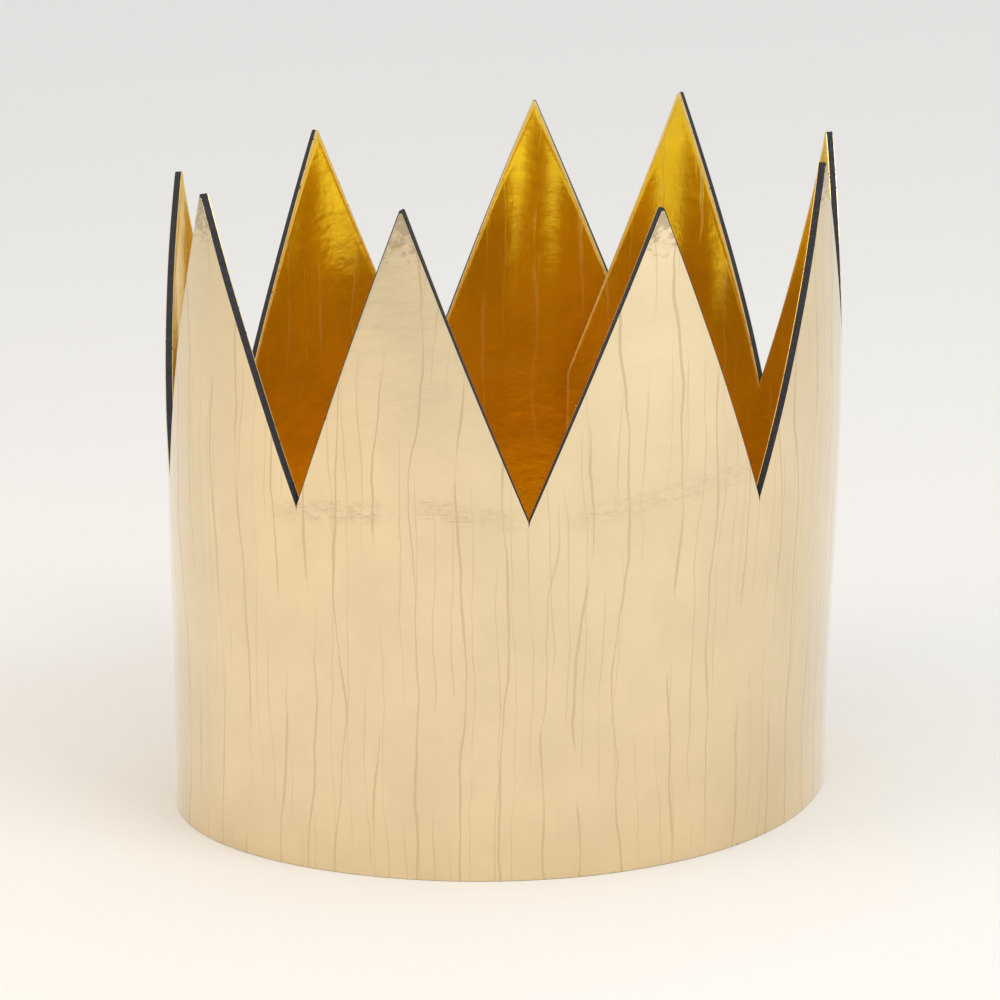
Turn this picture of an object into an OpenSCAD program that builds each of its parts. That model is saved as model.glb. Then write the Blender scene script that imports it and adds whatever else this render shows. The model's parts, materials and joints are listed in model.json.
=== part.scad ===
// Dress-up crown: one die-cut strip of foil-faced foam, bent into a ring and closed with hook-and-loop tape.
// The ring's axis is Z and the base rim stands on z = 0. The front faces -Y and the ends overlap at the back.
// Angles are in degrees, counter-clockwise from +X. The strip runs clockwise from its inner end.

/* [Ring] */
// Inner diameter of the closed ring, which sits on the head
inner_d = 175; // [140:0.5:215]
// Height of the plain band, from the base rim to the bottom of each notch
band_h = 97; // [60:0.5:130]
// Height of each point above the band
point_h = 80; // [40:0.5:110]
// Number of points round the strip
point_count = 9; // [7:1:11]
// Width of the blunt end of each point
tip_w = 1.2; // [0.5:0.1:4]
// Width of the knife's over-cut at the bottom of each notch
notch_slit_w = 0.6; // [0.2:0.1:2]
// Direction of the middle of the overlap, seen from above
closure_angle = 71.5; // [60:0.5:120]

/* [Strip] */
// Thickness of the foam core
foam_t = 2; // [1:0.1:4]
// Thickness of each foil facing
foil_t = 0.15; // [0.1:0.01:0.4]
// How far the foil facings stop above the cut base rim
foil_setback = 0.3; // [0.1:0.1:1]

/* [Closure] */
// Length of strip that overlaps when the ring is closed
overlap_w = 21.5; // [14:0.5:28]
// Distance from each end of the strip in to the side edges of the hook and loop tapes
tape_margin = 1.75; // [1:0.25:3]
// Thickness of each tape
tape_t = 1; // [0.6:0.1:1.5]
// Distance from the notch level down to the top of the tapes
tape_drop = 9; // [4:0.5:15]
// Height of the bottom of the tapes above the base rim
tape_foot = 12; // [2:0.5:20]
// Gap between the faces of the closed tapes
tape_gap = 0.4; // [0.3:0.1:1]
// Width of the zigzag stitching that holds each tape
stitch_w = 1.4; // [0.8:0.1:2.5]
// Distance from the edge of a tape in to its stitching
stitch_inset = 0.8; // [0.5:0.1:2]
// Foil left under the stitching, which is pressed into it
stitch_floor = 0.05; // [0.03:0.01:0.08]

/* [Flap] */
// Gap at the line where the closing flap bends
bend_gap = 0.3; // [0.2:0.1:1]
// Angle over which the flap lies parallel to the end under it, past the tape
flap_land = 1.5; // [0.5:0.5:3]

/* [Hidden] */

$fn = 180;
strip_t = foam_t + 2 * foil_t;
inner_r = inner_d / 2;
outer_r = inner_r + strip_t;
mid_r = inner_r + strip_t / 2;
top_z = band_h + point_h;

// The overlap is measured on the outer face; the points share the full turn and the overlap evenly.
overlap_angle = overlap_w / outer_r * 180 / PI;
pitch = (360 + overlap_angle) / point_count;
inner_end_angle = closure_angle + overlap_angle / 2;
bend_angle = inner_end_angle - (point_count - 1) * pitch;
outer_end_angle = bend_angle - pitch;

// The flap rises over the inner end by the strip, both tapes and the gap between them.
flap_rise = strip_t + 2 * tape_t + tape_gap;
flap_ramp = pitch - overlap_angle - flap_land;
flap_steps = 48;

// The tapes fill the overlap but for their margins, and follow the band's height.
tape_w = overlap_w - 2 * tape_margin;
tape_h = band_h - tape_drop - tape_foot;
reach = 2 * outer_r;
stitch_depth = foil_t - stitch_floor;
stitch_out = 1;

// Smooth rise from 0 to 1 as s goes from 0 to 1, level at both ends
function ease(s) = let (c = min(max(s, 0), 1)) c * c * (3 - 2 * c);

// Radius of the flap's inner face at an angle past the bend, and a point that far out plus an offset
function flap_r(past_bend) = inner_r + flap_rise * ease(past_bend / flap_ramp);
function flap_point(past_bend, out) =
    (flap_r(past_bend) + out) * [cos(bend_angle - past_bend), sin(bend_angle - past_bend)];

bend_gap_angle = bend_gap / outer_r * 180 / PI;
flap_tip_r = flap_r(pitch / 2) + strip_t / 2;

// A profile in the tangent plane at an angle, extruded outwards through the strip
module through_strip(angle)
    rotate([0, 0, angle]) rotate([90, 0, 90])
        translate([0, 0, inner_r / 2]) linear_extrude(outer_r) children();

// The V between two points whose tips lie half a pitch away on the given radius
module notch(angle, tip_r) {
    half_top = tip_r * sin(pitch / 2) - tip_w / 2;
    over = 5;
    spread = (half_top - notch_slit_w / 2) * over / point_h;
    through_strip(angle)
        polygon([[-notch_slit_w / 2, band_h], [notch_slit_w / 2, band_h],
                 [half_top + spread, top_z + over], [-half_top - spread, top_z + over]]);
}

// A rectangle of the closure, centred on the overlap and shrunk by an inset
module closure_rectangle(inset)
    translate([inset - tape_w / 2, tape_foot + inset])
        square([tape_w - 2 * inset, tape_h - 2 * inset]);

module closure_block() through_strip(closure_angle) closure_rectangle(0);

module stitch_frame()
    through_strip(closure_angle) difference() {
        closure_rectangle(stitch_inset);
        closure_rectangle(stitch_inset + stitch_w);
    }

// A tube wall between two radii
module ring(r0, r1, z0, z1)
    translate([0, 0, z0]) difference() {
        cylinder(h = z1 - z0, r = r1);
        translate([0, 0, -1]) cylinder(h = z1 - z0 + 2, r = r0);
    }

// The open sector at the back, between the inner end and the bend line
module open_sector() {
    a0 = inner_end_angle;
    a1 = bend_angle + 360 + bend_gap_angle / 2;
    translate([0, 0, -1]) linear_extrude(top_z + 10)
        polygon([[0, 0], reach * [cos(a0), sin(a0)], reach * [cos(a1), sin(a1)]]);
}

// One layer of the fixed part of the strip, with all but the last point
module band_layer(r0, r1, z0) {
    difference() {
        ring(r0, r1, z0, top_z);
        open_sector();
        for (k = [0 : point_count - 1])
            notch(inner_end_angle - k * pitch, mid_r);
    }
}

// One layer of the flap, between two distances out from its inner face
module flap_slice(out0, out1, z0, z1) {
    first = bend_gap_angle / 2;
    angles = [for (i = [0 : flap_steps]) first + (pitch - first) * i / flap_steps];
    translate([0, 0, z0]) linear_extrude(z1 - z0)
        polygon(concat([for (a = angles) flap_point(a, out1)],
                       [for (i = [flap_steps : -1 : 0]) flap_point(angles[i], out0)]));
}

module flap_layer(out0, out1, z0) {
    difference() {
        flap_slice(out0, out1, z0, top_z);
        notch(bend_angle, flap_tip_r);
        notch(outer_end_angle, flap_tip_r);
    }
}

// Stitching lies in a groove pressed into the foil: inside the inner end, and outside the outer end.
module band_groove() intersection() {
    ring(inner_r - stitch_out, inner_r + stitch_depth, 0, band_h);
    stitch_frame();
}

module flap_groove() intersection() {
    flap_slice(strip_t - stitch_depth, strip_t + stitch_out, 0, band_h);
    stitch_frame();
}

module foam_core() color("darkslategray")
    band_layer(inner_r + foil_t, inner_r + foil_t + foam_t, 0);

module outer_foil() color("palegoldenrod")
    band_layer(outer_r - foil_t, outer_r, foil_setback);

module inner_foil() color("goldenrod") difference() {
    band_layer(inner_r, inner_r + foil_t, foil_setback);
    band_groove();
}

module hook_tape() color("gainsboro") intersection() {
    ring(outer_r, outer_r + tape_t, 0, band_h);
    closure_block();
}

module hook_tape_stitching() color("ivory") intersection() {
    ring(inner_r, inner_r + stitch_depth, 0, band_h);
    stitch_frame();
}

module flap_core() color("darkslategray")
    flap_layer(foil_t, foil_t + foam_t, 0);

module flap_outer_foil() color("palegoldenrod") difference() {
    flap_layer(strip_t - foil_t, strip_t, foil_setback);
    flap_groove();
}

module flap_inner_foil() color("goldenrod")
    flap_layer(0, foil_t, foil_setback);

module loop_tape() color("whitesmoke") intersection() {
    flap_slice(-tape_t, 0, 0, band_h);
    closure_block();
}

module loop_tape_stitching() color("ivory") intersection() {
    flap_slice(strip_t - stitch_depth, strip_t, 0, band_h);
    stitch_frame();
}

foam_core();
outer_foil();
inner_foil();
hook_tape();
hook_tape_stitching();
flap_core();
flap_outer_foil();
flap_inner_foil();
loop_tape();
loop_tape_stitching();
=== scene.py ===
"""Foam dress-up crown: the strip's foam and foils, its closure tapes and stitching, and a plain studio."""
import json
import math

import bpy
import numpy as np
from mathutils import Matrix, Vector


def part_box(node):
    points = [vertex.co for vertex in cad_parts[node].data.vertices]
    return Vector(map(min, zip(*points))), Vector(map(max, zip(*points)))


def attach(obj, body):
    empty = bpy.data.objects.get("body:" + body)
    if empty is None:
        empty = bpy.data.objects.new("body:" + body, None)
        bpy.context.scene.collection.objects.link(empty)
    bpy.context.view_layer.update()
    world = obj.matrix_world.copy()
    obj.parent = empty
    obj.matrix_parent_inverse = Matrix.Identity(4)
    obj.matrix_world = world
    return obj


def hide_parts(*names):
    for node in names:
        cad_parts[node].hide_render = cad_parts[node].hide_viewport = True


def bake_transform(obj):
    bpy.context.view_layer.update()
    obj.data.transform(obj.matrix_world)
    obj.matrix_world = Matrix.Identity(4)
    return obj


bl_info = {
    "name": "Foam crown",
    "version": (1, 0, 0),
    "blender": (4, 5, 0),
    "location": "View3D > Sidebar > Crown",
    "description": "Makes a pointed crown from one strip of foil-faced foam, with its hook-and-loop closure",
    "category": "Add Mesh",
}

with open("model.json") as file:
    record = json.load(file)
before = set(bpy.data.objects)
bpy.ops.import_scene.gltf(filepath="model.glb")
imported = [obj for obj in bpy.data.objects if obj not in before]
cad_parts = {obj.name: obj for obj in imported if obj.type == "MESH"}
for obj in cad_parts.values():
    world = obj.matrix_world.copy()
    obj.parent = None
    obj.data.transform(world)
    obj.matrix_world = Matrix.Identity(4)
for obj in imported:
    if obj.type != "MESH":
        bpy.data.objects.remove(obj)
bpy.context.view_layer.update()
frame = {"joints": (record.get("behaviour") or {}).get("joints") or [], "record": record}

# ---------------------------------------------------------------- the frame's own sizes, metres and radians

MM = 0.001
BAND, FLAP = "band", "flap"
MOUNTS = {mount["name"]: mount for mount in frame["record"]["mounts"]}
BEND = next(joint for joint in frame["joints"] if joint["name"] == "closure_flap")["pos_m"]
INNER_R = MOUNTS["head_bore"]["dims"]["r_mm"] * MM
OUTER_R = math.hypot(BEND[0], BEND[1])
STRIP_T = OUTER_R - INNER_R
BEND_ANGLE = math.atan2(BEND[1], BEND[0])
TIP_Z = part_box("foam_core")[1][2]
TAPE_LOW, TAPE_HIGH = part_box("hook_tape")

# Each point's own height and lean, and each notch's depth, differ a little, as on a hand-bent strip. In
# millimetres, from the inner end of the strip to the outer end.
POINT_LIFTS = (2, -3, -0.5, -2, 0.5, 0.5, -4, -2.5, -0.7)
POINT_LEANS = (0, 1, -1.5, 0, 0, 2, 0.5, 1.2, 0)
POINT_SHIFTS = (0, 0, 0, -0.3, 1.4, 1.5, 0, -2.2, 0)
NOTCH_LIFTS = (0, 1.2, 0, -1.8, 0.3, 2.6, 0, 0, 0, 0)

# Length of the flap that lies parallel to the end under it, past the tape
FLAP_LAND = 0.0024
# The strip bends over this length either side of the bend line, and is cut twice as far before it
BEND_REACH = 0.007
# Height up the strip of the two places between which it bends
BEND_LEVEL = 0.05
# How far above the base rim both foils start, and how far the foam stops short of the foils
FOIL_START = 0.00012
FOAM_SLACK = 0.00001
# The ring opens over this height, and bulges towards this direction and two others
FLARE_HEIGHT = 0.125
TREFOIL_TURN = math.radians(59.2)
# Rows of the sheet's grid near the base rim and the cut edge, in millimetres from each
ROWS_AT_BASE = (0, 0.12, 0.3, 0.55, 0.9, 1.4)
ROWS_AT_TOP = (5.2, 3.6, 2.4, 1.4, 0.6, 0)


# ---------------------------------------------------------------- sizes and colours a user would change

class CrownSizes(bpy.types.PropertyGroup):
    """Sizes of the strip and its closure"""

    point_count: bpy.props.IntProperty(
        name="Points", description="Number of points round the strip", default=9, min=7, max=11)
    band_height: bpy.props.FloatProperty(
        name="Band height", description="Height of the plain band under the notches",
        default=0.097, unit="LENGTH")
    overlap: bpy.props.FloatProperty(
        name="Overlap", description="Length of strip that overlaps when the ring is closed",
        default=0.0215, unit="LENGTH")
    tip_width: bpy.props.FloatProperty(
        name="Tip width", description="Width of each point's blunt end", default=0.0009, unit="LENGTH")
    slit_width: bpy.props.FloatProperty(
        name="Slit width", description="Width of the knife's over-cut under each notch",
        default=0.0004, unit="LENGTH")
    slit_depth: bpy.props.FloatProperty(
        name="Slit depth", description="Depth of the knife's over-cut under each notch",
        default=0.0014, unit="LENGTH")
    foil_thickness: bpy.props.FloatProperty(
        name="Foil thickness", description="Thickness of each foil facing",
        default=0.00015, unit="LENGTH")
    roll_width: bpy.props.FloatProperty(
        name="Edge roll width", description="How far in from a cut the knife rolls the foil over",
        default=0.0014, unit="LENGTH")
    outer_roll: bpy.props.FloatProperty(
        name="Outer edge roll", description="How deep the knife presses the outer foil at a cut",
        default=0.00006, unit="LENGTH")
    inner_roll: bpy.props.FloatProperty(
        name="Inner edge roll", description="How deep the knife presses the inner foil at a cut",
        default=0.00022, unit="LENGTH")
    foil_short: bpy.props.FloatProperty(
        name="Outer foil set-back", description="How far under the cut the outer foil stops",
        default=0.0008, unit="LENGTH")
    tape_thickness: bpy.props.FloatProperty(
        name="Tape thickness", description="Thickness of each closure tape, with its hooks or loops",
        default=0.001, unit="LENGTH")
    tape_gap: bpy.props.FloatProperty(
        name="Tape gap", description="Gap between the closed tapes", default=0.0004, unit="LENGTH")
    lean: bpy.props.FloatProperty(
        name="Lean", description="How far the ring leans to its left for each unit of height",
        default=0.058)
    oval: bpy.props.FloatProperty(
        name="Oval", description="How far the ring is squeezed from front to back",
        default=0.00105, unit="LENGTH")
    trefoil: bpy.props.FloatProperty(
        name="Three-sidedness", description="How far the ring bulges on three sides",
        default=0.0019, unit="LENGTH")
    flare: bpy.props.FloatProperty(
        name="Flare", description="How far the ring opens from its base up to its points",
        default=0.0022, unit="LENGTH")
    wave_slope: bpy.props.FloatProperty(
        name="Waviness", description="Typical slope of the sheet's upright waves", default=0.018)


class CrownColours(bpy.types.PropertyGroup):
    """Colours of the finishes"""

    outer_gold: bpy.props.FloatVectorProperty(
        name="Outer gold", description="Colour of the outer foil", subtype="COLOR",
        size=3, default=(0.80, 0.645, 0.40), min=0, max=1)
    # Deep amber: partly the foil's gold and partly painted reflection, standing in for light bounced round
    # inside the ring
    inner_gold_and_painted_bounce: bpy.props.FloatVectorProperty(
        name="Inner gold", description="Colour of the inner foil", subtype="COLOR",
        size=3, default=(0.97, 0.62, 0.012), min=0, max=1)
    foam: bpy.props.FloatVectorProperty(
        name="Foam", description="Colour of the foam's cut edge", subtype="COLOR",
        size=3, default=(0.017, 0.018, 0.027), min=0, max=1)
    tape: bpy.props.FloatVectorProperty(
        name="Tape", description="Colour of the closure tapes", subtype="COLOR",
        size=3, default=(0.80, 0.78, 0.72), min=0, max=1)
    thread: bpy.props.FloatVectorProperty(
        name="Thread", description="Colour of the stitching", subtype="COLOR",
        size=3, default=(0.86, 0.78, 0.58), min=0, max=1)


# ---------------------------------------------------------------- shape of the strip

def ease(s):
    """Rises from 0 to 1 as s goes from 0 to 1 and is level at both ends: 3 s^2 - 2 s^3."""
    s = np.clip(s, 0, 1)
    return s * s * (3 - 2 * s)


def roll_over(distance, width, depth):
    """Drop of the foil at a distance from a cut: depth x (1 - distance / width)^2, and 0 past width."""
    return depth * np.clip(1 - distance / width, 0, 1) ** 2


class Strip:
    """The bent strip. A place on it is u metres along from the inner end, v metres up from the base rim and
    out metres outwards from the outer face of the band."""

    def __init__(self, sizes):
        self.sizes = sizes
        self.overlap_angle = sizes.overlap / OUTER_R
        self.pitch_angle = (2 * math.pi + self.overlap_angle) / sizes.point_count
        self.pitch = self.pitch_angle * OUTER_R
        self.length = sizes.point_count * self.pitch
        self.inner_end = BEND_ANGLE + (sizes.point_count - 1) * self.pitch_angle
        self.bend_u = self.length - self.pitch
        self.flap_rise = STRIP_T + 2 * sizes.tape_thickness + sizes.tape_gap
        self.ramp = self.pitch - sizes.overlap - FLAP_LAND
        self.outline_u, self.outline_v = self.outline()
        rng = np.random.default_rng(7)
        count = 16
        self.wave_length = np.geomspace(0.008, 0.075, count)
        self.wave_phase = rng.uniform(0, 2 * math.pi, count)
        self.wave_drift = rng.normal(0, 2 * math.pi / 0.22, count)
        self.wave_share = rng.uniform(0.3, 1, count) / math.sqrt(count / 2)

    def outline(self):
        """Corners of the cut top edge: for each notch the two lips and the foot of its slit, and for each
        point the two corners of its blunt end and its middle."""
        sizes, corners = self.sizes, []
        for k in range(sizes.point_count + 1):
            foot = k * self.pitch
            level = sizes.band_height + NOTCH_LIFTS[k % len(NOTCH_LIFTS)] * MM
            half = sizes.slit_width / 2
            corners += [(foot - half, level), (foot, level - sizes.slit_depth), (foot + half, level)]
            if k < sizes.point_count:
                tip = foot + self.pitch / 2 + POINT_SHIFTS[k % len(POINT_SHIFTS)] * MM
                level = TIP_Z + POINT_LIFTS[k % len(POINT_LIFTS)] * MM
                half = sizes.tip_width / 2
                corners += [(tip - half, level), (tip, level + half / 2), (tip + half, level)]
        corners = np.array(corners)
        corners[0] = (0, sizes.band_height)
        corners[1] = (sizes.slit_width / 4, sizes.band_height)
        corners[-1] = (self.length, sizes.band_height)
        corners[-2] = (self.length - sizes.slit_width / 4, sizes.band_height)
        return corners[:, 0], corners[:, 1]

    def top(self, u):
        """Height of the cut edge at u: straight between the outline's corners."""
        return np.interp(u, self.outline_u, self.outline_v)

    def edge_distance(self, u, v):
        """Distance to the nearest cut: the base rim, the two ends and each stretch of the outline."""
        nearest = np.minimum(np.minimum(v, u), self.length - u)
        for k in range(len(self.outline_u) - 1):
            a = np.array([self.outline_u[k], self.outline_v[k]])
            d = np.array([self.outline_u[k + 1], self.outline_v[k + 1]]) - a
            s = np.clip(((u - a[0]) * d[0] + (v - a[1]) * d[1]) / (d @ d), 0, 1)
            nearest = np.minimum(nearest, np.hypot(u - a[0] - s * d[0], v - a[1] - s * d[1]))
        return nearest

    def wave(self, u, v):
        """Upright waves of the sheet: a sum of sines along u whose phase drifts with height. Each has an
        amplitude of slope x wavelength / 2 pi."""
        total = np.zeros(np.broadcast(u, v).shape)
        for length, phase, drift, share in zip(
                self.wave_length, self.wave_phase, self.wave_drift, self.wave_share):
            height = self.sizes.wave_slope * share * length / (2 * math.pi)
            total = total + height * np.sin(2 * math.pi * u / length + phase + drift * v)
        return total

    def place(self, u, v, out):
        """Position: polar about the axis, with angle = inner end's angle - u / R. The radius is R, plus the
        flap's rise past the bend, the ring's unevenness oval cos 2a + trefoil cos 3(a - turn), the flare, the
        points' lean and the sheet's waves. The ring then leans sideways about its middle height."""
        sizes = self.sizes
        angle = self.inner_end - u / OUTER_R
        past_bend = (u - self.bend_u) / self.ramp
        uneven = sizes.oval * np.cos(2 * angle)
        uneven = uneven + sizes.trefoil * np.cos(3 * (angle - TREFOIL_TURN))
        up = np.clip((v - sizes.band_height) / (TIP_Z - sizes.band_height), 0, None)
        point = np.clip((u / self.pitch).astype(int), 0, sizes.point_count - 1)
        leans = np.resize(POINT_LEANS, sizes.point_count) * MM
        spread = sizes.flare * (ease(v / FLARE_HEIGHT) - 0.15) + leans[point] * up ** 1.5
        radius = OUTER_R + self.flap_rise * ease(past_bend) + uneven + spread + out
        radius = radius + self.wave(u, v) * (0.4 + 0.6 * ease(v / 0.05))
        x = radius * np.cos(angle) + sizes.lean * (v - TIP_Z / 2)
        return np.stack([x, radius * np.sin(angle), v], -1)

    def columns(self, u0, u1, per_half):
        """Places along u for a grid between u0 and u1: even steps, and every corner of the outline."""
        step = self.pitch / 2 / per_half
        even = np.linspace(u0, u1, max(2, round((u1 - u0) / step) + 1))
        corners = self.outline_u[(self.outline_u > u0) & (self.outline_u < u1)]
        clear = np.abs(even[:, None] - corners[None, :]).min(1) > step * 0.35 if len(corners) else even > -1
        clear[[0, -1]] = True
        return np.unique(np.concatenate([even[clear], corners]))

    def grid(self, u0, u1, per_half, rows, base, short):
        """u and v of a grid that reaches from the base to the cut edge, or stops short of it. The rows crowd
        towards both edges: a few at set distances from each, the rest evenly between them."""
        u = self.columns(u0, u1, per_half)
        low = base + np.array(ROWS_AT_BASE) * MM
        high = np.array(ROWS_AT_TOP) * MM
        top = self.top(u)[:, None] - short
        share = np.linspace(0, 1, rows + 2)[None, 1:-1]
        middle = low[-1] + (top - high[0] - low[-1]) * share
        v = np.concatenate([np.broadcast_to(low, (len(u), len(low))), middle, top - high], 1)
        return np.broadcast_to(u[:, None], v.shape), v


# ---------------------------------------------------------------- meshes

def shell(front, back, across=1):
    """Closed shell from two grids of points of one shape: both sheets, and a rim between their borders with
    extra loops evenly across it. Returns points, four-cornered faces and each point's grid index."""
    nu, nv = front.shape[:2]
    index = np.arange(nu * nv).reshape(nu, nv)
    sheet = np.stack([index[:-1, :-1], index[1:, :-1], index[1:, 1:], index[:-1, 1:]], -1).reshape(-1, 4)
    border = np.concatenate([index[:, 0], index[-1, 1:], index[-2::-1, -1], index[0, -2:0:-1]])
    points = [front.reshape(-1, 3), back.reshape(-1, 3)]
    source = [np.arange(nu * nv)] * 2
    loops = [border]
    for k in range(1, across):
        s = k / across
        loops.append(np.arange(len(border)) + sum(len(part) for part in points))
        points.append(points[0][border] * (1 - s) + points[1][border] * s)
        source.append(border)
    loops.append(border + nu * nv)
    faces = [sheet, (sheet + nu * nv)[:, ::-1]]
    for a, b in zip(loops[:-1], loops[1:]):
        faces.append(np.stack([a, b, np.roll(b, -1), np.roll(a, -1)], -1))
    return np.concatenate(points), np.concatenate(faces), np.concatenate(source)


def facing_out(points, faces):
    """The faces, turned over if the volume they close is negative, as the sum of p0.(p1 x p2) / 6."""
    a, b, c = (points[faces[:, k]] for k in range(3))
    d = points[faces[:, 3]]
    volume = np.einsum("ij,ij->", a, np.cross(b, c)) + np.einsum("ij,ij->", a, np.cross(c, d))
    return faces if volume > 0 else faces[:, ::-1]


def make_piece(name, points, faces, material, place=None, sharp=35):
    """A mesh object at the origin from arrays. place is (u, v, distance to a cut) for each point, and is
    kept in millimetres for the material."""
    mesh = bpy.data.meshes.new(name)
    mesh.vertices.add(len(points))
    mesh.vertices.foreach_set("co", np.ascontiguousarray(points, np.float32).ravel())
    mesh.loops.add(faces.size)
    mesh.loops.foreach_set("vertex_index", np.ascontiguousarray(faces, np.int32).ravel())
    mesh.polygons.add(len(faces))
    mesh.polygons.foreach_set("loop_start", np.arange(0, faces.size, faces.shape[1], dtype=np.int32))
    mesh.polygons.foreach_set("use_smooth", np.ones(len(faces), bool))
    mesh.update(calc_edges=True)
    if mesh.validate():
        raise RuntimeError(f"{name} has faces that are not valid")
    mesh.set_sharp_from_angle(angle=math.radians(sharp))
    if place is not None:
        attribute = mesh.attributes.new("strip_place", "FLOAT_VECTOR", "POINT")
        attribute.data.foreach_set("vector", np.ascontiguousarray(place / MM, np.float32).ravel())
    mesh.materials.append(material)
    piece = bpy.data.objects.new(name, mesh)
    bpy.context.scene.collection.objects.link(piece)
    return piece


def strip_layer(strip, name, material, reach, outs, base=0.0, short=0.0, across=1, slack=0.0):
    """One layer of the strip between two distances out, over a reach of u. Its faces follow the rolled
    edges: the outer half drops inwards and the inner half rises outwards."""
    sizes = strip.sizes
    u, v = strip.grid(*reach, per_half=36, rows=48, base=base, short=short)
    distance = strip.edge_distance(u, v)
    sides = []
    for out in outs:
        inward = -1 if out > -STRIP_T / 2 else 1
        roll = roll_over(distance, sizes.roll_width, sizes.outer_roll if inward < 0 else sizes.inner_roll)
        sides.append(strip.place(u, v, out + inward * (roll + slack)))
    points, faces, source = shell(sides[0], sides[1], across)
    place = np.stack([u, v, distance], -1).reshape(-1, 3)[source]
    return make_piece(name, points, facing_out(points, faces), material, place)


def reaches(strip):
    """The strip in two lengths: one stays with the band, and one bends from the band to the flap."""
    cut = strip.bend_u - 2 * BEND_REACH
    return (0.0, cut), (cut, strip.length)


def join_flap(strip, piece):
    """Works out the two ends of the bend line, which nothing uses, and bakes the piece's placement into its
    mesh. The piece is not bent here.
    """
    level, face = np.array(BEND_LEVEL), np.array(0.0)
    ends = [strip.place(np.array(strip.bend_u + side * BEND_REACH), level, face) for side in (-1, 1)]
    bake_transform(piece)


# ---------------------------------------------------------------- closure tapes and stitching

# The tapes' backing and its ribs, and the hooks and loops that rise from it
BACKING_T = 0.4 * MM
RIB_PITCH = 0.8 * MM
HOOK_STEP, HOOK_CURL, HOOK_R = 1.55 * MM, 0.16 * MM, 0.07 * MM
LOOP_COUNT, LOOP_R = 900, 0.045 * MM
# The zigzag stitching: how far inside the tape's edges it runs, half its width, its step and its thread
STITCH_INSET, STITCH_HALF, STITCH_STEP = 1.5 * MM, 0.7 * MM, 0.55 * MM
THREAD_R = 0.11 * MM
# Pitch of the tapes' weave and of the thread's twist
TAPE_WEAVE, THREAD_TWIST = 0.5 * MM, 0.3 * MM


def tube(paths, radius, sides):
    """Closed tubes along many paths at once: paths is (count, rings, 3). Rings lie square to the path, and
    the first and last ring shrink to a small tip."""
    count, rings, _ = paths.shape
    tangent = np.gradient(paths, axis=1)
    tangent /= np.linalg.norm(tangent, axis=2, keepdims=True)
    helper = np.where(np.abs(tangent[..., 2:3]) < 0.9, [[[0, 0, 1.0]]], [[[1.0, 0, 0]]])
    side = np.cross(tangent, helper)
    side /= np.linalg.norm(side, axis=2, keepdims=True)
    over = np.cross(tangent, side)
    turn = np.arange(sides) * 2 * math.pi / sides
    taper = np.ones(rings)
    taper[[0, -1]] = 0.35
    ring = np.cos(turn)[:, None] * side[:, :, None] + np.sin(turn)[:, None] * over[:, :, None]
    points = (paths[:, :, None] + radius * taper[None, :, None, None] * ring).reshape(-1, 3)
    index = np.arange(count * rings * sides).reshape(count, rings, sides)
    nxt = np.roll(index, -1, 2)
    wall = np.stack([index[:, :-1], nxt[:, :-1], nxt[:, 1:], index[:, 1:]], -1).reshape(-1, 4)
    caps = []
    if sides == 4:
        caps = [index[:, 0, ::-1].reshape(-1, 4), index[:, -1].reshape(-1, 4)]
    elif sides == 6:
        for ringed, order in ((index[:, 0], (0, 5, 4, 3)), (index[:, 0], (0, 3, 2, 1)),
                              (index[:, -1], (0, 1, 2, 3)), (index[:, -1], (0, 3, 4, 5))):
            caps.append(ringed[:, order])
    return points, facing_out(points, np.concatenate([wall] + caps))


def together(parts):
    """Several (points, faces) pairs as one."""
    offset, points, faces = 0, [], []
    for part_points, part_faces in parts:
        points.append(part_points)
        faces.append(part_faces + offset)
        offset += len(part_points)
    return np.concatenate(points), np.concatenate(faces)


def tape_span(strip, flap):
    """First and last u of a tape, and its lowest and highest v. Both tapes lie in the overlap."""
    width = math.hypot(TAPE_HIGH[0] - TAPE_LOW[0], TAPE_HIGH[1] - TAPE_LOW[1]) * 0.97
    middle = strip.sizes.overlap / 2 + (strip.length - strip.sizes.overlap if flap else 0)
    return middle - width / 2, middle + width / 2, TAPE_LOW[2], TAPE_HIGH[2]


def tape_backing(strip, flap, thickness):
    """Woven backing: a thin slab on the strip's face with fine ribs across it, thinner at its sides."""
    u0, u1, v0, v1 = tape_span(strip, flap)
    u, v = np.meshgrid(np.linspace(u0, u1, 46), np.linspace(v0, v1, 190), indexing="ij")
    rib = 0.03 * MM * np.cos(2 * math.pi * v / RIB_PITCH)
    side = np.minimum(u - u0, u1 - u)
    rib = rib - 0.12 * MM * np.clip(1 - side / RIB_PITCH, 0, 1)
    face = -STRIP_T if flap else 0.0
    outwards = -1 if flap else 1
    root = strip.place(u, v, face)
    top = strip.place(u, v, face + outwards * (thickness + rib))
    points, faces, _ = shell(top, root)
    return points, facing_out(points, faces)


def hook_paths(strip, base, height):
    """Hooks in staggered rows: each rises from the backing and curls over through half a turn."""
    u0, u1, v0, v1 = tape_span(strip, False)
    step, curl = HOOK_STEP, HOOK_CURL
    u, v = np.meshgrid(np.arange(u0 + 1.3 * MM, u1 - 1 * MM, step), np.arange(v0 + 1 * MM, v1 - 1 * MM, step),
                       indexing="ij")
    u = u + (np.round((v - v0) / step) % 2) * step / 2 - step / 4
    u, v = u.ravel()[:, None], v.ravel()[:, None]
    turn = np.linspace(0, math.pi * 1.15, 6)[None]
    along = np.concatenate([np.zeros((1, 2)), curl * (1 - np.cos(turn))], 1)
    up = np.concatenate([np.array([[0, height - 1.35 * curl]]), height - curl + curl * np.sin(turn)], 1)
    direction = np.where(np.round((v - v0) / step) % 2 > 0, 1, -1)
    return strip.place(np.broadcast_to(u, (len(u), up.shape[1])), v + direction * along, base + up)


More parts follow.
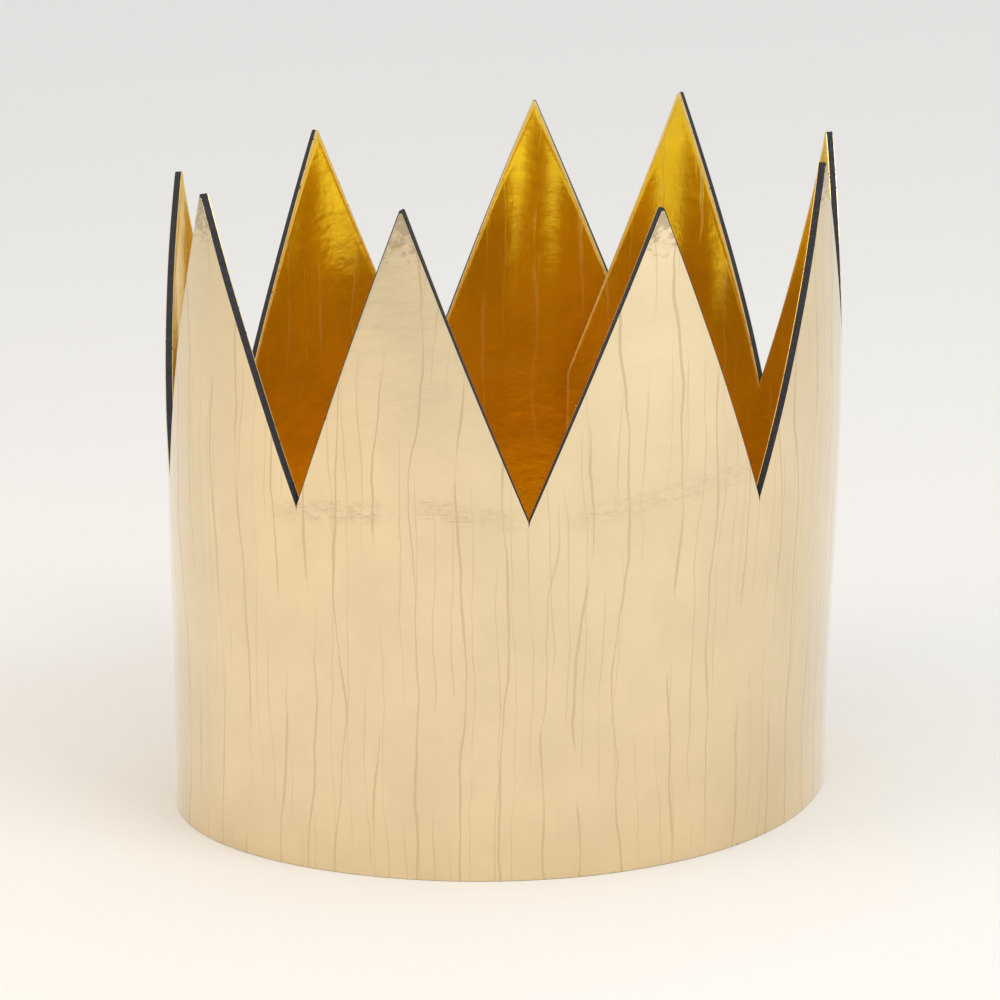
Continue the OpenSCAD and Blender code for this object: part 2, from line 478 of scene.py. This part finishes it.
def loop_paths(strip, base, height):
    """Soft loops, scattered: each is an arch between two feet, leaning a little."""
    rng = np.random.default_rng(3)
    u0, u1, v0, v1 = tape_span(strip, True)
    count = LOOP_COUNT
    u = rng.uniform(u0 + 0.9 * MM, u1 - 0.9 * MM, count)[:, None]
    v = rng.uniform(v0 + 0.6 * MM, v1 - 0.6 * MM, count)[:, None]
    turn = np.linspace(0, math.pi, 7)[None]
    heading = rng.uniform(0, 2 * math.pi, count)[:, None]
    span = rng.uniform(0.25, 0.55, count)[:, None] * MM
    lean = rng.uniform(-0.25, 0.25, count)[:, None] * MM * np.sin(turn)
    reach = span * np.cos(turn)
    rise = height * rng.uniform(0.65, 1, count)[:, None] * np.sin(turn)
    du = reach * np.cos(heading) - lean * np.sin(heading)
    dv = reach * np.sin(heading) + lean * np.cos(heading)
    return strip.place(u + du, v + dv, base - rise)


def stitch_paths(strip, flap, face, outwards):
    """Zigzag stitches round a rectangle inside the tape's edges. Each stitch is a low arch that dips into the
    foil at both ends."""
    u0, u1, v0, v1 = tape_span(strip, flap)
    u0, u1, v0, v1 = u0 + STITCH_INSET, u1 - STITCH_INSET, v0 + STITCH_INSET, v1 - STITCH_INSET
    corners = np.array([(u0, v0), (u1, v0), (u1, v1), (u0, v1), (u0, v0)])
    starts, ends = [], []
    for a, b in zip(corners[:-1], corners[1:]):
        length = np.linalg.norm(b - a)
        count = round(length / STITCH_STEP)
        s = np.linspace(0, 1, count + 1)[:, None]
        heading = (b - a) / length
        swing = np.where(np.arange(count + 1) % 2 > 0, STITCH_HALF, -STITCH_HALF)[:, None]
        zigzag = a + (b - a) * s + swing * np.array([-heading[1], heading[0]])
        starts.append(zigzag[:-1])
        ends.append(zigzag[1:])
    start, end = np.concatenate(starts), np.concatenate(ends)
    s = np.linspace(0, 1, 6)
    along = start[:, None] * (1 - s[None, :, None]) + end[:, None] * s[None, :, None]
    arch = (np.sin(math.pi * s) ** 0.6 * 0.16 - 0.08) * MM
    return strip.place(along[..., 0], along[..., 1], face + outwards * arch[None])


# ---------------------------------------------------------------- finishes

def add_node(tree, kind, sources=(), **settings):
    """Adds a node. Each source is an (input, value) pair, where a value is a socket to link or a constant."""
    node = tree.nodes.new(kind)
    for key, value in settings.items():
        setattr(node, key, value)
    for key, value in sources:
        if isinstance(value, bpy.types.NodeSocket):
            tree.links.new(value, node.inputs[key])
        else:
            node.inputs[key].default_value = value
    return node


def calc(tree, operation, a, b=0.0, c=0.0):
    """One maths node's result."""
    return add_node(tree, "ShaderNodeMath", ((0, a), (1, b), (2, c)), operation=operation).outputs[0]


def band_of(tree, value, low, high, to_low=0.0, to_high=1.0):
    """A value eased from one range to another."""
    sources = ((0, value), (1, low), (2, high), (3, to_low), (4, to_high))
    return add_node(tree, "ShaderNodeMapRange", sources, interpolation_type="SMOOTHSTEP").outputs[0]


def scaled(tree, vector, scale, shift=(0.0, 0.0, 0.0)):
    """A vector times one factor for each axis, plus a shift."""
    return add_node(tree, "ShaderNodeVectorMath", ((0, vector), (1, scale), (2, shift)),
                    operation="MULTIPLY_ADD").outputs[0]


def noise(tree, vector, detail=2.0, rough=0.5):
    """Smooth noise between 0 and 1 at a vector."""
    return add_node(tree, "ShaderNodeTexNoise", (("Vector", vector), ("Scale", 1.0), ("Detail", detail),
                                                 ("Roughness", rough))).outputs["Fac"]


def mixed(tree, factor, a, b):
    """Colour a to colour b."""
    node = add_node(tree, "ShaderNodeMix", (), data_type="RGBA")
    for key, value in ((0, factor), (6, a), (7, b)):
        if isinstance(value, bpy.types.NodeSocket):
            tree.links.new(value, node.inputs[key])
        else:
            node.inputs[key].default_value = value
    return node.outputs[2]


def new_group(name, inputs, outputs):
    """A node group with named sockets. Inputs are (name, kind, default), outputs (name, kind)."""
    tree = bpy.data.node_groups.new(name, "ShaderNodeTree")
    for socket, kind, default in inputs:
        made = tree.interface.new_socket(socket, in_out="INPUT", socket_type=kind)
        if default is not None:
            made.default_value = default
    for socket, kind in outputs:
        tree.interface.new_socket(socket, in_out="OUTPUT", socket_type=kind)
    return tree, tree.nodes.new("NodeGroupInput").outputs, tree.nodes.new("NodeGroupOutput").inputs


FLOAT, VECTOR = "NodeSocketFloat", "NodeSocketVector"


def crease_group():
    """Upright creases in a foil: wandering lines at uneven spacing that come and go with height. Ribbon is 1
    on a crease and fades over its width; Height is the crease's relief in millimetres."""
    tree, given, result = new_group(
        "upright_creases",
        (("Place", VECTOR, None), ("Spacing", FLOAT, 20.0), ("Width", FLOAT, 0.5), ("Wander", FLOAT, 5.0),
         ("Cover", FLOAT, 0.5), ("Seed", FLOAT, 0.0)),
        (("Ribbon", FLOAT), ("Height", FLOAT)))
    place = given["Place"]
    seed = add_node(tree, "ShaderNodeCombineXYZ", (("X", given["Seed"]), ("Y", given["Seed"]),
                                                   ("Z", given["Seed"]))).outputs[0]
    moved = add_node(tree, "ShaderNodeVectorMath", ((0, place), (1, seed)), operation="ADD").outputs[0]
    slow = calc(tree, "SUBTRACT", noise(tree, scaled(tree, moved, (0.025, 0.018, 0.0)), 1.0), 0.5)
    quick = calc(tree, "SUBTRACT", noise(tree, scaled(tree, moved, (0.06, 0.09, 0.0)), 1.0), 0.5)
    drift = calc(tree, "MULTIPLY", calc(tree, "ADD", slow, calc(tree, "MULTIPLY", quick, 0.13)),
                 given["Wander"])
    along = add_node(tree, "ShaderNodeSeparateXYZ", ((0, moved),)).outputs["X"]
    cell = calc(tree, "DIVIDE", calc(tree, "ADD", along, drift), given["Spacing"])
    line = add_node(tree, "ShaderNodeTexVoronoi", (("W", cell), ("Scale", 1.0)), voronoi_dimensions="1D",
                    feature="DISTANCE_TO_EDGE").outputs["Distance"]
    away = calc(tree, "MULTIPLY", line, given["Spacing"])
    swell = noise(tree, scaled(tree, moved, (0.11, 0.035, 0.0), (9.0, 3.0, 0.0)), 1.0)
    width = calc(tree, "MULTIPLY", given["Width"], band_of(tree, swell, 0.3, 0.7, 0.35, 1.25))
    ribbon = calc(tree, "SUBTRACT", 1.0, band_of(tree, away, calc(tree, "MULTIPLY", width, 0.45), width))
    come = noise(tree, scaled(tree, moved, (0.075, 0.017, 0.0), (31.0, 7.0, 0.0)), 1.5)
    gate = calc(tree, "SUBTRACT", 1.0, given["Cover"])
    gate = band_of(tree, calc(tree, "SUBTRACT", come, gate), -0.02, 0.05)
    ribbon = calc(tree, "MULTIPLY", ribbon, gate)
    tree.links.new(ribbon, result["Ribbon"])
    tree.links.new(calc(tree, "MULTIPLY", ribbon, 0.035), result["Height"])
    return tree


def crinkle_group():
    """Fine level crinkles of squeezed film. Zone says where; Crinkle is the mask of the fine folds and Height
    their relief in millimetres."""
    tree, given, result = new_group(
        "level_crinkles", (("Place", VECTOR, None), ("Zone", FLOAT, 0.0)),
        (("Crinkle", FLOAT), ("Height", FLOAT)))
    parts = add_node(tree, "ShaderNodeSeparateXYZ", ((0, given["Place"]),)).outputs
    wobble = noise(tree, scaled(tree, given["Place"], (0.16, 0.5, 0.0)), 2.0, 0.6)
    wobble = calc(tree, "MULTIPLY", wobble, 2.5)
    across = calc(tree, "ADD", calc(tree, "MULTIPLY", parts["Y"], 1.7), wobble)
    folded = add_node(tree, "ShaderNodeCombineXYZ", (("X", calc(tree, "MULTIPLY", parts["X"], 0.5)),
                                                     ("Y", across))).outputs[0]
    cells = add_node(tree, "ShaderNodeTexVoronoi", (("Vector", folded), ("Scale", 1.0)),
                     voronoi_dimensions="2D").outputs["Distance"]
    smudge = noise(tree, scaled(tree, given["Place"], (0.22, 0.5, 0.0), (3.0, 5.0, 0.0)), 3.0, 0.65)
    zone = calc(tree, "MULTIPLY", given["Zone"], band_of(tree, smudge, 0.36, 0.56))
    crinkle = calc(tree, "ADD", calc(tree, "MULTIPLY", band_of(tree, cells, 0.2, 0.8), 0.65), 0.3)
    tree.links.new(calc(tree, "MULTIPLY", crinkle, zone), result["Crinkle"])
    tree.links.new(calc(tree, "MULTIPLY", calc(tree, "MULTIPLY", cells, zone), 0.045), result["Height"])
    return tree


# Where the film was squeezed while the strip lay folded: first and last place along the strip, and the
# height at each, in millimetres
CRINKLES = ((62, 104, 98, 101), (196, 250, 103.5, 97), (262, 292, 96.5, 101), (296, 334, 99, 97),
            (420, 468, 97, 102), (520, 560, 100, 98))
# How far a squeezed stretch reaches above and below its line, in millimetres
CRINKLE_REACH = 4.2
# Height in millimetres above which the tips turn darker in patches
TIP_DARKENING_START = 150.0


def crinkle_zone(tree, place, reach):
    """Mask of the squeezed stretches: full on each one's own line, gone at reach above and below it."""
    parts = add_node(tree, "ShaderNodeSeparateXYZ", ((0, place),)).outputs
    total = 0.0
    for start, end, level, end_level in CRINKLES:
        line = add_node(tree, "ShaderNodeMapRange", ((0, parts["X"]), (1, start), (2, end), (3, level),
                                                     (4, end_level))).outputs[0]
        off = calc(tree, "ABSOLUTE", calc(tree, "SUBTRACT", parts["Y"], line))
        zone = band_of(tree, off, reach, reach * 0.4)
        zone = calc(tree, "MULTIPLY", zone, band_of(tree, parts["X"], start - 6.0, start + 8.0))
        zone = calc(tree, "MULTIPLY", zone, band_of(tree, parts["X"], end + 6.0, end - 8.0))
        total = calc(tree, "MAXIMUM", zone, total)
    return total


def micro_group():
    """Ripple of the film: fine, hatched and broad, with patches where the fine one is stronger. Height is in
    millimetres."""
    tree, given, result = new_group(
        "film_ripple", (("Place", VECTOR, None), ("Amount", FLOAT, 0.01)),
        (("Height", FLOAT), ("Patch", FLOAT)))
    place = given["Place"]
    patch = noise(tree, scaled(tree, place, (0.03, 0.03, 0.0), (2.0, 8.0, 0.0)), 2.0)
    patch = band_of(tree, patch, 0.42, 0.66, 0.35, 1.0)
    fine = noise(tree, scaled(tree, place, (0.45, 1.7, 0.0)), 4.0, 0.62)
    hatch = noise(tree, scaled(tree, place, (2.6, 0.35, 0.0), (7.0, 2.0, 0.0)), 2.0)
    broad = noise(tree, scaled(tree, place, (0.07, 0.10, 0.0), (3.0, 1.0, 0.0)), 3.0, 0.55)
    height = calc(tree, "MULTIPLY", fine, patch)
    height = calc(tree, "ADD", height, calc(tree, "MULTIPLY", hatch, 0.3))
    height = calc(tree, "ADD", height, calc(tree, "MULTIPLY", broad, 7.0))
    height = calc(tree, "MULTIPLY", height, given["Amount"])
    tree.links.new(height, result["Height"])
    tree.links.new(patch, result["Patch"])
    return tree


def nick_group():
    """Small chips where the film has come off near a cut and the foam shows."""
    tree, given, result = new_group(
        "edge_nicks", (("Place", VECTOR, None), ("Reach", FLOAT, 0.7)), (("Nick", FLOAT),))
    parts = add_node(tree, "ShaderNodeSeparateXYZ", ((0, given["Place"]),)).outputs
    spots = noise(tree, scaled(tree, given["Place"], (1.1, 0.55, 0.0)), 2.0, 0.6)
    near = calc(tree, "SUBTRACT", 1.0, band_of(tree, parts["Z"], 0.15, given["Reach"]))
    chip = band_of(tree, calc(tree, "ADD", spots, calc(tree, "MULTIPLY", near, 0.16)), 0.80, 0.83)
    tree.links.new(calc(tree, "MULTIPLY", chip, near), result["Nick"])
    return tree


GROUP_MAKERS = {"upright_creases": crease_group, "level_crinkles": crinkle_group,
                "film_ripple": micro_group, "edge_nicks": nick_group}


def use_group(tree, name, sources):
    """A named group placed in a material. The first use makes it."""
    node = tree.nodes.new("ShaderNodeGroup")
    node.node_tree = bpy.data.node_groups.get(name) or GROUP_MAKERS[name]()
    for key, value in sources:
        if isinstance(value, bpy.types.NodeSocket):
            tree.links.new(value, node.inputs[key])
        else:
            node.inputs[key].default_value = value
    return node.outputs


def new_material(name):
    """An empty node material with its Principled shader."""
    material = bpy.data.materials.new(name)
    material.use_nodes = True
    tree = material.node_tree
    tree.nodes.clear()
    shader = tree.nodes.new("ShaderNodeBsdfPrincipled")
    output = tree.nodes.new("ShaderNodeOutputMaterial")
    tree.links.new(shader.outputs[0], output.inputs[0])
    return material, tree, shader


def rgba(colour, times=1.0):
    """A colour with alpha 1, made lighter or darker."""
    return (*[min(1.0, channel * times) for channel in colour], 1.0)


def foil_material(name, gold, foam, smooth, shade_and_glint_colour, rim_glint, ripple, cover, squeezed, metal, lines, coat, mottle):
    """Mirror-gold film with upright creases, level crinkles, film ripple, rolled edges, tips darker in
    patches, a slow change of tone and small nicks. smooth is the roughness of clean film. The colour given
    for creases and edges is painted shade along creases and crinkles on the outer foil. On the inner foil it
    is a painted highlight along them and along the rolled edges. At 0.55 of its brightness it darkens the
    tips."""
    if name in bpy.data.materials:
        return bpy.data.materials[name]
    material, tree, shader = new_material(name)
    place = add_node(tree, "ShaderNodeAttribute", (), attribute_name="strip_place").outputs["Vector"]
    large = use_group(tree, "upright_creases", (
        ("Place", place), ("Spacing", 11.0), ("Width", 0.5), ("Wander", 11.0), ("Cover", cover),
        ("Seed", 40.0)))
    small = use_group(tree, "upright_creases", (
        ("Place", place), ("Spacing", 5.0), ("Width", 0.26), ("Wander", 9.0), ("Cover", cover - 0.06),
        ("Seed", 190.0)))
    crinkle = use_group(tree, "level_crinkles", (
        ("Place", place), ("Zone", crinkle_zone(tree, place, CRINKLE_REACH))))
    film = use_group(tree, "film_ripple", (("Place", place), ("Amount", ripple)))
    nick = use_group(tree, "edge_nicks", (("Place", place),))["Nick"]
    parts = add_node(tree, "ShaderNodeSeparateXYZ", ((0, place),)).outputs
    # Band along every cut, where the inner foil gets a painted highlight for its rolled edge
    rolled_edge_glint = calc(tree, "SUBTRACT", 1.0, band_of(tree, parts["Z"], 0.35, 1.0))

    # Painted shade: the film is painted darker along creases and crinkles on the outer foil. On the inner
    # foil it is painted paler there as a painted highlight, and its rolled edges get the same painted
    # highlight. The mask also roughens the film.
    shade_and_glint_mask = calc(tree, "MULTIPLY", small["Ribbon"], 0.7)
    shade_and_glint_mask = calc(tree, "MULTIPLY", calc(tree, "MAXIMUM", large["Ribbon"], shade_and_glint_mask), lines)
    shade_and_glint_mask = calc(tree, "MAXIMUM", shade_and_glint_mask, calc(tree, "MULTIPLY", crinkle["Crinkle"], 0.5 * squeezed))
    shade_and_glint_mask = calc(tree, "MAXIMUM", shade_and_glint_mask, calc(tree, "MULTIPLY", rolled_edge_glint, rim_glint))
    tone = noise(tree, scaled(tree, place, (0.05, 0.035, 0.0), (12.0, 4.0, 0.0)), 4.0, 0.6)
    tone = band_of(tree, tone, 0.33, 0.67)
    colour = mixed(tree, tone, rgba(gold, 1.0 - mottle), rgba(gold, 1.0 + mottle * 0.3))
    # Painted shade and painted highlight along creases, crinkles and rolled edges
    colour = mixed(tree, shade_and_glint_mask, colour, rgba(shade_and_glint_colour))
    # Darker in patches towards the tips, above a set height
    darker_tips = noise(tree, scaled(tree, place, (0.35, 0.5, 0.0), (5.0, 2.0, 0.0)), 4.0, 0.7)
    darker_tips = calc(tree, "ADD", darker_tips, band_of(tree, parts["Y"], TIP_DARKENING_START, TIP_Z / MM, -0.35, 0.12))
    darker_tips = calc(tree, "MULTIPLY", band_of(tree, darker_tips, 0.42, 0.62), 0.6 * squeezed)
    colour = mixed(tree, darker_tips, colour, rgba(shade_and_glint_colour, 0.55))
    colour = mixed(tree, nick, colour, rgba(foam))
    tree.links.new(colour, shader.inputs["Base Color"])
    roughness = calc(tree, "ADD", smooth, calc(tree, "MULTIPLY", calc(tree, "MAXIMUM", shade_and_glint_mask, darker_tips), 0.3))
    roughness = calc(tree, "ADD", roughness, calc(tree, "MULTIPLY", film["Patch"], 0.03))
    roughness = calc(tree, "MAXIMUM", roughness, calc(tree, "MULTIPLY", nick, 0.8))
    tree.links.new(roughness, shader.inputs["Roughness"])
    metallic = calc(tree, "MULTIPLY", calc(tree, "SUBTRACT", 1.0, nick), metal)
    tree.links.new(metallic, shader.inputs["Metallic"])
    shader.inputs["Coat Weight"].default_value = coat
    shader.inputs["Coat Roughness"].default_value = 0.05
    height = calc(tree, "ADD", large["Height"], calc(tree, "MULTIPLY", small["Height"], 0.5))
    height = calc(tree, "ADD", height, calc(tree, "MULTIPLY", crinkle["Height"], squeezed))
    height = calc(tree, "ADD", height, film["Height"])
    height = calc(tree, "SUBTRACT", height, calc(tree, "MULTIPLY", nick, 0.15))
    bump = add_node(tree, "ShaderNodeBump", (("Height", height), ("Strength", 1.0), ("Distance", MM)))
    tree.links.new(bump.outputs[0], shader.inputs["Normal"])
    return material


def foam_material(colours):
    """Closed-cell foam as cut: near black, dull, pitted, with paler specks on the cell walls."""
    name = "cut_foam"
    if name in bpy.data.materials:
        return bpy.data.materials[name]
    material, tree, shader = new_material(name)
    place = add_node(tree, "ShaderNodeTexCoord").outputs["Object"]
    cells = add_node(tree, "ShaderNodeTexVoronoi", (("Vector", place), ("Scale", 2600.0))).outputs["Distance"]
    cloud = noise(tree, scaled(tree, place, (900.0, 900.0, 900.0)), 3.0, 0.6)
    tone = band_of(tree, cloud, 0.4, 0.75)
    colour = mixed(tree, tone, rgba(colours.foam), rgba(colours.foam, 1.9))
    tree.links.new(colour, shader.inputs["Base Color"])
    tree.links.new(band_of(tree, cells, 0.1, 0.6, 0.95, 0.7), shader.inputs["Roughness"])
    height = calc(tree, "ADD", calc(tree, "MULTIPLY", cells, -0.12), calc(tree, "MULTIPLY", cloud, 0.12))
    bump = add_node(tree, "ShaderNodeBump", (("Height", height), ("Strength", 0.8), ("Distance", MM)))
    tree.links.new(bump.outputs[0], shader.inputs["Normal"])
    return material


def cloth_material(name, colour, pitch, fuzz):
    """Woven or twisted fibre: two crossed threads in the relief, a mottled colour and a soft sheen."""
    if name in bpy.data.materials:
        return bpy.data.materials[name]
    material, tree, shader = new_material(name)
    place = add_node(tree, "ShaderNodeTexCoord").outputs["Object"]
    mottle = noise(tree, scaled(tree, place, (1500.0, 1500.0, 1500.0)), 3.0, 0.65)
    parts = add_node(tree, "ShaderNodeSeparateXYZ", ((0, place),)).outputs
    warp = calc(tree, "SINE", calc(tree, "MULTIPLY", parts["Z"], 2 * math.pi / pitch))
    weft = calc(tree, "SINE", calc(tree, "MULTIPLY", parts["X"], 2 * math.pi / pitch))
    weave = calc(tree, "MULTIPLY", warp, weft)
    tone = band_of(tree, calc(tree, "ADD", mottle, calc(tree, "MULTIPLY", weave, 0.12)), 0.3, 0.75)
    tree.links.new(mixed(tree, tone, rgba(colour, 0.72), rgba(colour, 1.08)), shader.inputs["Base Color"])
    shader.inputs["Roughness"].default_value = 0.85
    shader.inputs["Sheen Weight"].default_value = fuzz
    height = calc(tree, "ADD", calc(tree, "MULTIPLY", weave, 0.03), calc(tree, "MULTIPLY", mottle, 0.05))
    bump = add_node(tree, "ShaderNodeBump", (("Height", height), ("Strength", 0.7), ("Distance", MM)))
    tree.links.new(bump.outputs[0], shader.inputs["Normal"])
    return material


# ---------------------------------------------------------------- one operator for each group of pieces

def settings(context):
    """The scene's strip and colours."""
    return Strip(context.scene.crown_sizes), context.scene.crown_colours


def two_lengths(context, base_name, material, outs, nodes, slot, **finish):
    """A layer as its two lengths: one rides on the band. The other rises onto the flap, goes to join_flap and
    is attached to no body.
    """
    strip, _ = settings(context)
    for reach, node, moving in zip(reaches(strip), nodes, (False, True)):
        name = base_name + ("_flap_end" if moving else "")
        piece = strip_layer(strip, name, material, reach, outs, **finish)
        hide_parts(node)
        if moving:
            join_flap(strip, piece)
        else:
            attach(piece, BAND)


class CROWN_OT_foam(bpy.types.Operator):
    """Foam core: the strip's dark middle, seen at every cut"""
    bl_idname = "crown.foam"
    bl_label = "Foam core"

    def execute(self, context):
        strip, colours = settings(context)
        foil = strip.sizes.foil_thickness
        two_lengths(context, "strip_foam", foam_material(colours), (-foil, foil - STRIP_T),
                    ("foam_core", "flap_core"), "foam", across=5, slack=FOAM_SLACK)
        return {"FINISHED"}


class CROWN_OT_outer_foil(bpy.types.Operator):
    """Outer foil: the pale mirror-gold face"""
    bl_idname = "crown.outer_foil"
    bl_label = "Outer foil"

    def execute(self, context):
        strip, colours = settings(context)
        foil = strip.sizes.foil_thickness
        # The crease colour here is painted shade, darker than the foil
        material = foil_material("outer_gold_foil", colours.outer_gold, colours.foam, smooth=0.05,
                                 shade_and_glint_colour=(0.62, 0.47, 0.27), rim_glint=0.0, ripple=0.018, cover=0.60, squeezed=1.0,
                                 metal=1.0, lines=0.7, coat=0.6, mottle=0.05)
        two_lengths(context, "strip_outer_foil", material, (0.0, -foil),
                    ("outer_foil", "flap_outer_foil"), "outer_foil", base=FOIL_START,
                    short=strip.sizes.foil_short)
        return {"FINISHED"}


class CROWN_OT_inner_foil(bpy.types.Operator):
    """Inner foil: the gold face towards the head. Its deep amber colour is partly painted reflection of light
    bounced round inside the ring.
    """
    bl_idname = "crown.inner_foil"
    bl_label = "Inner foil"

    def execute(self, context):
        strip, colours = settings(context)
        foil = strip.sizes.foil_thickness
        # The crease and edge colour here is a painted highlight, paler than the foil
        material = foil_material("inner_gold_foil", colours.inner_gold_and_painted_bounce, colours.foam, smooth=0.13,
                                 shade_and_glint_colour=(0.86, 0.78, 0.58), rim_glint=0.4, ripple=0.026, cover=0.5, squeezed=0.1,
                                 metal=0.86, lines=0.2, coat=0.1, mottle=0.11)
        two_lengths(context, "strip_inner_foil", material, (foil - STRIP_T, -STRIP_T),
                    ("inner_foil", "flap_inner_foil"), "inner_foil", base=FOIL_START)
        return {"FINISHED"}


class CROWN_OT_tapes(bpy.types.Operator):
    """Closure tapes: hooks on the inner end, loops on the flap"""
    bl_idname = "crown.tapes"
    bl_label = "Hook and loop tapes"

    def execute(self, context):
        strip, colours = settings(context)
        pile = strip.sizes.tape_thickness - BACKING_T
        hook = cloth_material("hook_tape_weave", colours.tape, TAPE_WEAVE, 0.1)
        loop = cloth_material("loop_tape_pile", colours.tape, TAPE_WEAVE, 0.5)
        parts = [tape_backing(strip, False, BACKING_T),
                 tube(hook_paths(strip, BACKING_T * 0.9, pile), HOOK_R, 6)]
        piece = make_piece("hook_closure_tape", *together(parts), hook)
        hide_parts("hook_tape")
        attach(piece, BAND)
        parts = [tape_backing(strip, True, BACKING_T),
                 tube(loop_paths(strip, -STRIP_T - BACKING_T * 0.9, pile), LOOP_R, 4)]
        piece = make_piece("loop_closure_tape", *together(parts), loop)
        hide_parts("loop_tape")
        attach(piece, FLAP)
        return {"FINISHED"}


class CROWN_OT_stitching(bpy.types.Operator):
    """Zigzag stitching that holds each tape, on the strip's face behind it"""
    bl_idname = "crown.stitching"
    bl_label = "Stitching"

    def execute(self, context):
        strip, colours = settings(context)
        thread = cloth_material("stitching_thread", colours.thread, THREAD_TWIST, 0.2)
        for flap, face, outwards, node, body in ((False, -STRIP_T, -1, "hook_tape_stitching", BAND),
                                                 (True, 0.0, 1, "loop_tape_stitching", FLAP)):
            paths = stitch_paths(strip, flap, face, outwards)
            name = node.replace("_tape_stitching", "_tape_zigzag")
            piece = make_piece(name, *tube(paths, THREAD_R, 6), thread)
            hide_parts(node)
            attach(piece, body)
        return {"FINISHED"}


# ---------------------------------------------------------------- stage

# Half the floor's width
FLOOR_HALF = 6.0
# The camera: its lens in millimetres, its place sideways in metres, its distance and height in outer radii of
# the band, and its tilts in radians
CAMERA_LENS = 158.9
CAMERA_SIDE = -0.0031
CAMERA_AWAY, CAMERA_HIGH = 13.152, 4.151
PITCH, ROLL = 0.2426, -0.0498


def studio_floor(half):
    """A square floor about the origin, half as wide as given each way."""
    mesh = bpy.data.meshes.new("studio_floor")
    corners = [(-half, -half, 0), (half, -half, 0), (half, half, 0), (-half, half, 0)]
    mesh.from_pydata(corners, [], [(0, 1, 2, 3)])
    floor = bpy.data.objects.new("studio_floor", mesh)
    bpy.context.scene.collection.objects.link(floor)
    return floor


def plain_paint(name, colour):
    """Plain matt paint, as on the floor."""
    material, _, shader = new_material(name)
    shader.inputs["Base Color"].default_value = (*colour, 1.0)
    shader.inputs["Roughness"].default_value = 0.9
    shader.inputs["Specular IOR Level"].default_value = 0.2
    return material


def softbox(name, place, aim, size, power, colour):
    """A square soft light turned towards a point."""
    light = bpy.data.lights.new(name, "AREA")
    light.shape, light.size, light.energy, light.color = "SQUARE", size, power, colour
    lamp = bpy.data.objects.new(name, light)
    lamp.location = place
    lamp.rotation_mode = "QUATERNION"
    lamp.rotation_quaternion = (Vector(aim) - Vector(place)).to_track_quat("-Z", "Y")
    bpy.context.scene.collection.objects.link(lamp)


def studio_camera():
    """A long lens in front of the crown. It looks down by PITCH and is rolled by ROLL about its own axis."""
    lens = bpy.data.cameras.new("studio_camera")
    lens.sensor_width = 36.0
    lens.lens = CAMERA_LENS
    lens.clip_start, lens.clip_end = 0.05, 40.0
    camera = bpy.data.objects.new("studio_camera", lens)
    camera.location = (CAMERA_SIDE, -CAMERA_AWAY * OUTER_R, CAMERA_HIGH * OUTER_R)
    forward = Vector((0, math.cos(PITCH), -math.sin(PITCH)))
    right = Vector((1, 0, 0))
    up = right.cross(forward)
    turned_right = right * math.cos(ROLL) + up * math.sin(ROLL)
    turned_up = -right * math.sin(ROLL) + up * math.cos(ROLL)
    rotation = [[turned_right[k], turned_up[k], -forward[k]] for k in range(3)]
    camera.rotation_mode = "QUATERNION"
    camera.rotation_quaternion = Matrix(rotation).to_quaternion()
    bpy.context.scene.collection.objects.link(camera)
    return camera


class CROWN_OT_stage(bpy.types.Operator):
    """Floor, soft studio light and camera"""
    bl_idname = "crown.stage"
    bl_label = "Studio"

    def execute(self, context):
        scene = context.scene
        floor = studio_floor(FLOOR_HALF)
        floor.data.materials.append(plain_paint("floor_paint", (0.92, 0.92, 0.92)))
        world = bpy.data.worlds.new("studio_light")
        world.use_nodes = True
        surround = world.node_tree.nodes["Background"].inputs
        surround["Color"].default_value = (1.0, 0.99, 0.97, 1.0)
        surround["Strength"].default_value = 0.80
        scene.world = world
        softbox("key_softbox", place=(0.75, -0.75, 1.0), aim=(0.3, -0.35, 0.0), size=0.7, power=5.5,
                colour=(1.0, 0.99, 0.97))
        softbox("warm_softbox", place=(-0.7, -0.25, 0.7), aim=(-0.4, -0.05, 0.0), size=0.6, power=1.8,
                colour=(1.0, 0.74, 0.42))

        scene.camera = studio_camera()
        scene.view_settings.view_transform = "Standard"
        return {"FINISHED"}


class CROWN_PT_pieces(bpy.types.Panel):
    """Lists the crown's pieces"""
    bl_label = "Crown"
    bl_space_type = "VIEW_3D"
    bl_region_type = "UI"
    bl_category = "Crown"

    def draw(self, context):
        for operator in OPERATORS:
            self.layout.operator(operator.bl_idname)
        for group in (context.scene.crown_sizes, context.scene.crown_colours):
            for key in group.__annotations__:
                self.layout.prop(group, key)


OPERATORS = (CROWN_OT_foam, CROWN_OT_outer_foil, CROWN_OT_inner_foil, CROWN_OT_tapes, CROWN_OT_stitching,
             CROWN_OT_stage)
CLASSES = (CrownSizes, CrownColours) + OPERATORS + (CROWN_PT_pieces,)


def register():
    for cls in CLASSES:
        bpy.utils.register_class(cls)
    bpy.types.Scene.crown_sizes = bpy.props.PointerProperty(type=CrownSizes)
    bpy.types.Scene.crown_colours = bpy.props.PointerProperty(type=CrownColours)


def unregister():
    del bpy.types.Scene.crown_colours
    del bpy.types.Scene.crown_sizes
    for cls in reversed(CLASSES):
        bpy.utils.unregister_class(cls)


def main():
    """Makes every piece and the studio."""
    register()
    bpy.ops.crown.foam()
    bpy.ops.crown.outer_foil()
    bpy.ops.crown.inner_foil()
    bpy.ops.crown.tapes()
    bpy.ops.crown.stitching()
    bpy.ops.crown.stage()


if __name__ == "__main__":
    main()
